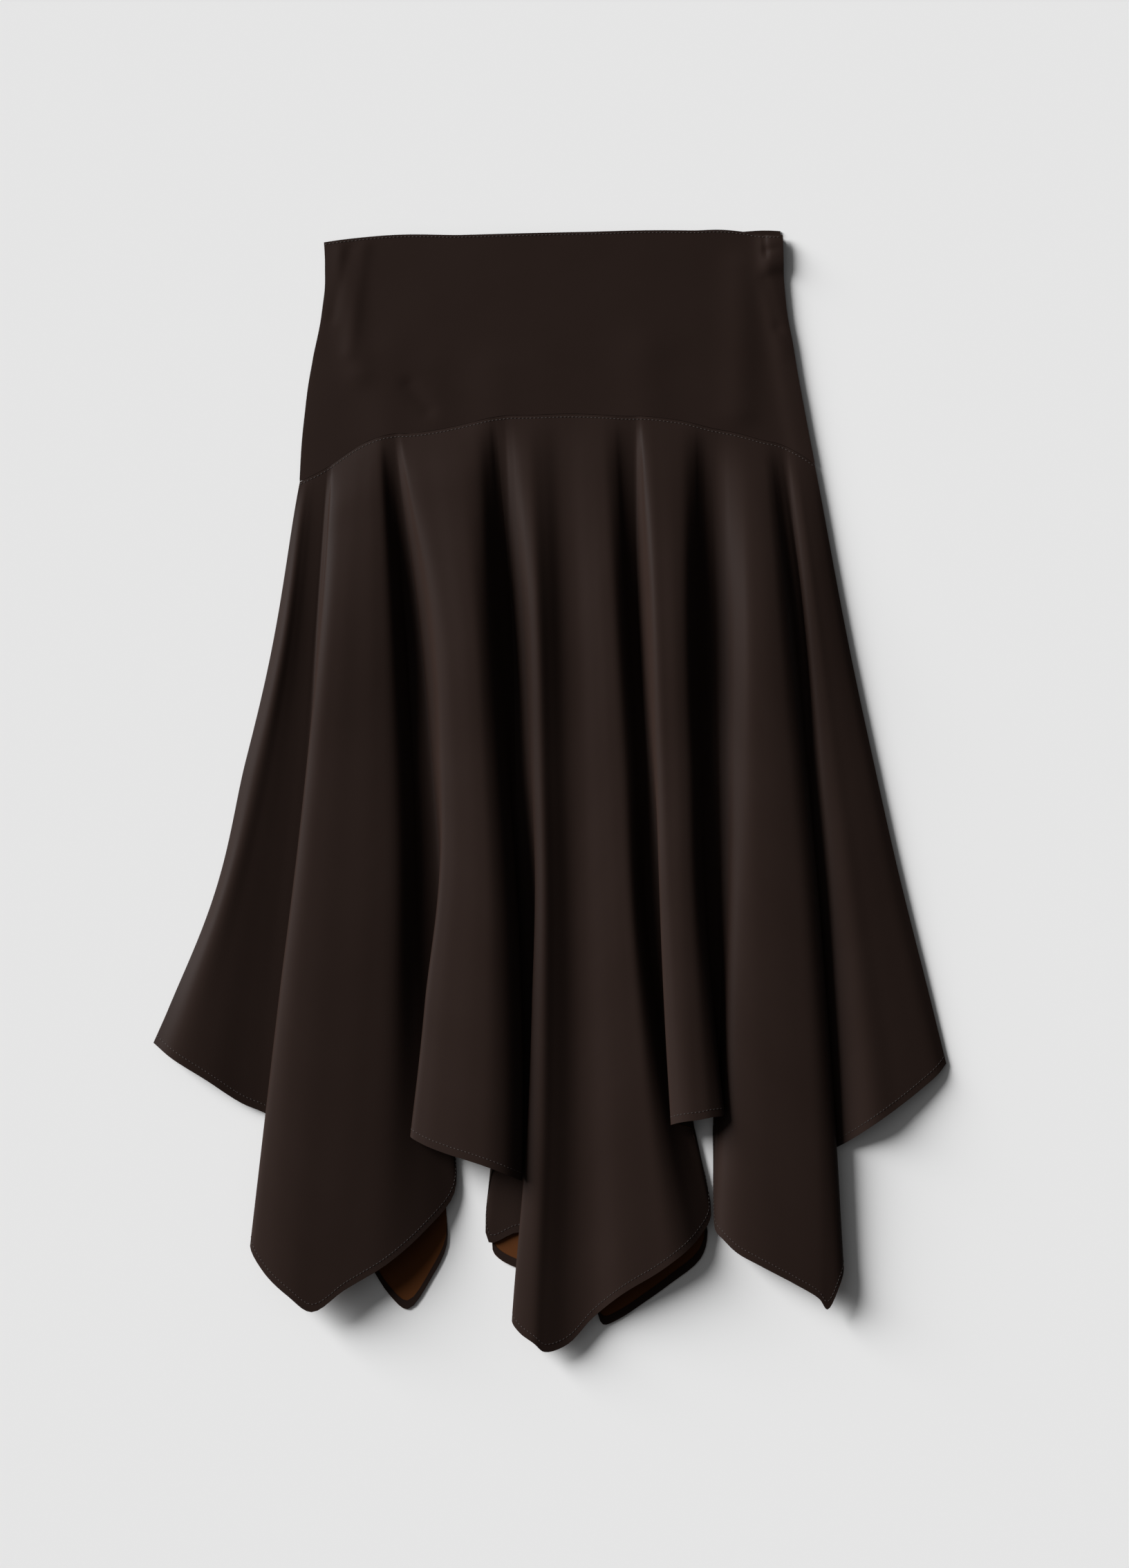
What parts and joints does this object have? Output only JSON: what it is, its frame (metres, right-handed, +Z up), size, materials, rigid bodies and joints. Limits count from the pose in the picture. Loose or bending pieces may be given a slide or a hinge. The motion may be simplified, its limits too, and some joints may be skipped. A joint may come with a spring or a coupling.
{
  "type": "midi skirt",
  "caption": "Flared satin midi skirt laid flat: a deep shaped yoke over a circle-cut skirt that falls in flutes to a pointed hem.",
  "frame": {"origin": "bottom centre of the whole garment's box, on the surface that it lies on", "axes": "+Y from the hem towards the waist, +Z up off the surface, +X towards the side with the zip"},
  "size_m": [0.6247, 0.8822, 0.0286],
  "materials": {
    "satin": "dark brown satin with a soft sheen",
    "zip_tape": "matt woven tape",
    "zip_slider": "dark lacquered metal"
  },
  "bodies": {
    "root": {"front_yoke": "satin", "back_yoke": "satin", "front_skirt": "satin", "back_skirt": "satin", "zip_tape": "zip_tape", "zip_slider": "zip_slider"}
  },
  "joints": []
}
